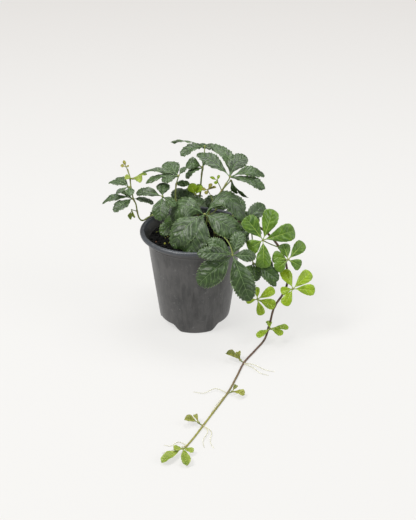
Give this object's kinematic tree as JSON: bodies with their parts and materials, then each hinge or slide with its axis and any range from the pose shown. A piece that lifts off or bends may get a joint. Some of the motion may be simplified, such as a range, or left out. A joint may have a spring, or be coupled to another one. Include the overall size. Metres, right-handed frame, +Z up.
{
  "type": "potted sugar vine",
  "caption": "Climbing vine with palmate leaves in a round tapered nursery pot, with one long stem over the lip that trails along the surface.",
  "frame": {"origin": "on the pot's axis, at the surface that the pot stands on", "axes": "+Z up; -Y towards the side where the long stem trails along the surface; +X to the side where it goes over the lip"},
  "size_m": [0.2025, 0.3264, 0.1733],
  "materials": {
    "pot": "satin",
    "soil": "matte",
    "stem_brown": "satin",
    "stem_green": "satin",
    "leaf_dark": "satin",
    "leaf_mid": "satin",
    "leaf_bright": "satin",
    "leaf_lime": "satin",
    "leaf_olive": "satin"
  },
  "bodies": {
    "root": {"pot": "pot", "soil": "soil", "stem_trailing": "stem_brown", "stem_front": "stem_green", "stem_right": "stem_green", "stem_middle": "stem_green", "stem_left": "stem_green", "stem_over_lip": "stem_green", "stem_back_left": "stem_green", "stem_back_right": "stem_green", "leaf_front_big": "leaf_dark", "leaf_front_low": "leaf_dark", "leaf_top_right": "leaf_dark", "leaf_top_left": "leaf_dark", "leaf_middle": "leaf_dark", "leaf_left_middle": "leaf_dark", "leaf_left_front": "leaf_dark", "leaf_left_behind": "leaf_dark", "leaf_inside_left": "leaf_mid", "leaf_far_left_low": "leaf_dark", "leaf_far_left_high": "leaf_dark", "leaf_young_left": "leaf_mid", "leaf_bud_left": "leaf_olive", "leaf_hanging_left": "leaf_olive", "leaf_young_middle": "leaf_lime", "leaf_green_middle": "leaf_mid", "leaf_bud_middle": "leaf_olive", "leaf_bud_right": "leaf_lime", "leaf_under_top_right": "leaf_dark", "leaf_over_lip_right": "leaf_dark", "leaf_right_behind": "leaf_dark", "leaf_right_bright": "leaf_bright", "leaf_right_far": "leaf_bright", "leaf_right_dark": "leaf_mid", "leaf_lime_right": "leaf_lime", "leaf_lime_left": "leaf_lime", "leaf_lime_low": "leaf_lime", "leaf_surface_first": "leaf_olive", "leaf_surface_second": "leaf_olive", "leaf_surface_third": "leaf_olive", "leaf_surface_tip": "leaf_lime", "leaf_back_left": "leaf_dark", "leaf_back_middle": "leaf_dark", "leaf_back_right": "leaf_dark", "leaf_side_right": "leaf_dark", "leaf_behind_left": "leaf_dark", "leaf_behind_right": "leaf_dark"}
  },
  "joints": []
}
